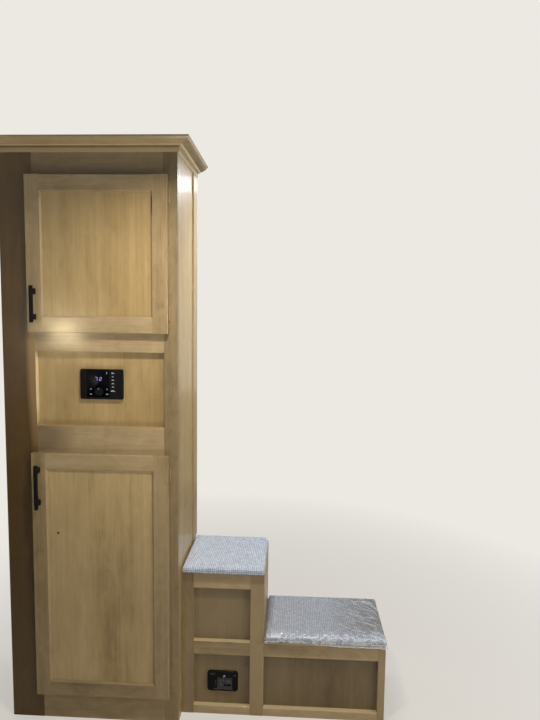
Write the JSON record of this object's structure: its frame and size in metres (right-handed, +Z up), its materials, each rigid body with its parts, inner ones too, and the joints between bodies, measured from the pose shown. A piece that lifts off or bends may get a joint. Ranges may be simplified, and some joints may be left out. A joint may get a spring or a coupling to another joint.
{
  "type": "fitted wardrobe cabinet with steps",
  "caption": "Tall fitted cabinet from a trailer's living quarters: panelled doors over and under a fixed control bay, crown moulding, and padded steps up to a raised bed.",
  "frame": {"origin": "on the floor, in the middle of the whole unit's width and depth", "axes": "+Z up along the cabinet's height, +X to the right seen from the front, +Y to the wall behind"},
  "size_m": [1.517, 0.422, 2.286],
  "materials": {
    "stained_maple": "stained maple, satin lacquer",
    "maple_panel": "stained maple veneer, satin lacquer",
    "birch_plywood": "clear-coated birch plywood",
    "satin_black": "satin black",
    "tan_enamel": "tan enamel",
    "zinc_steel": "zinc plated",
    "catch_plastic": "moulded",
    "black_plastic": "fine moulded texture",
    "screen_gloss": "polished",
    "clear_film": "clear polythene film",
    "printed_marks": "screen printed",
    "boucle": "looped boucle weave"
  },
  "bodies": {
    "cabinet": {"back_panel": "birch_plywood", "bay_boards": "birch_plywood", "bay_panel": "maple_panel", "control_buttons": "black_plastic", "control_dial": "black_plastic", "control_housing": "black_plastic", "control_screen": "screen_gloss", "crown_front": "stained_maple", "crown_return": "stained_maple", "door_catches": "catch_plastic", "face_rails": "stained_maple", "floor_board": "birch_plywood", "frame_hinge_leaves": "tan_enamel", "nailers": "birch_plywood", "outlet_insert": "screen_gloss", "outlet_plate": "black_plastic", "scribe_strip": "stained_maple", "shelf_pegs": "zinc_steel", "shelves": "birch_plywood", "side_left": "birch_plywood", "side_right": "maple_panel", "step_back_low": "birch_plywood", "step_back_tall": "birch_plywood", "step_pad_low": "boucle", "step_pad_tall": "boucle", "step_panels": "maple_panel", "step_rails": "stained_maple", "step_sides": "birch_plywood", "step_stiles": "stained_maple", "step_top_low": "birch_plywood", "step_top_tall": "birch_plywood", "stile_left": "stained_maple", "stile_right": "stained_maple", "top_board": "birch_plywood"},
    "upper_door": {"upper_door_hinge_leaves": "tan_enamel", "upper_door_panel": "maple_panel", "upper_door_pull": "satin_black", "upper_door_rails": "stained_maple", "upper_door_stiles": "stained_maple", "upper_door_strike": "zinc_steel"},
    "lower_door": {"lower_door_hinge_leaves": "tan_enamel", "lower_door_panel": "maple_panel", "lower_door_pull": "satin_black", "lower_door_rails": "stained_maple", "lower_door_stiles": "stained_maple", "lower_door_strike": "zinc_steel"}
  },
  "joints": [
    {"name": "upper_door_hinge", "type": "hinge", "parent": "cabinet", "child": "upper_door", "pos_m": [-0.107, -0.1618, 1.863], "axis": [0, 0, 1], "range_deg": [0, 95]},
    {"name": "lower_door_hinge", "type": "hinge", "parent": "cabinet", "child": "lower_door", "pos_m": [-0.107, -0.1618, 0.6055], "axis": [0, 0, 1], "range_deg": [0, 95]}
  ]
}
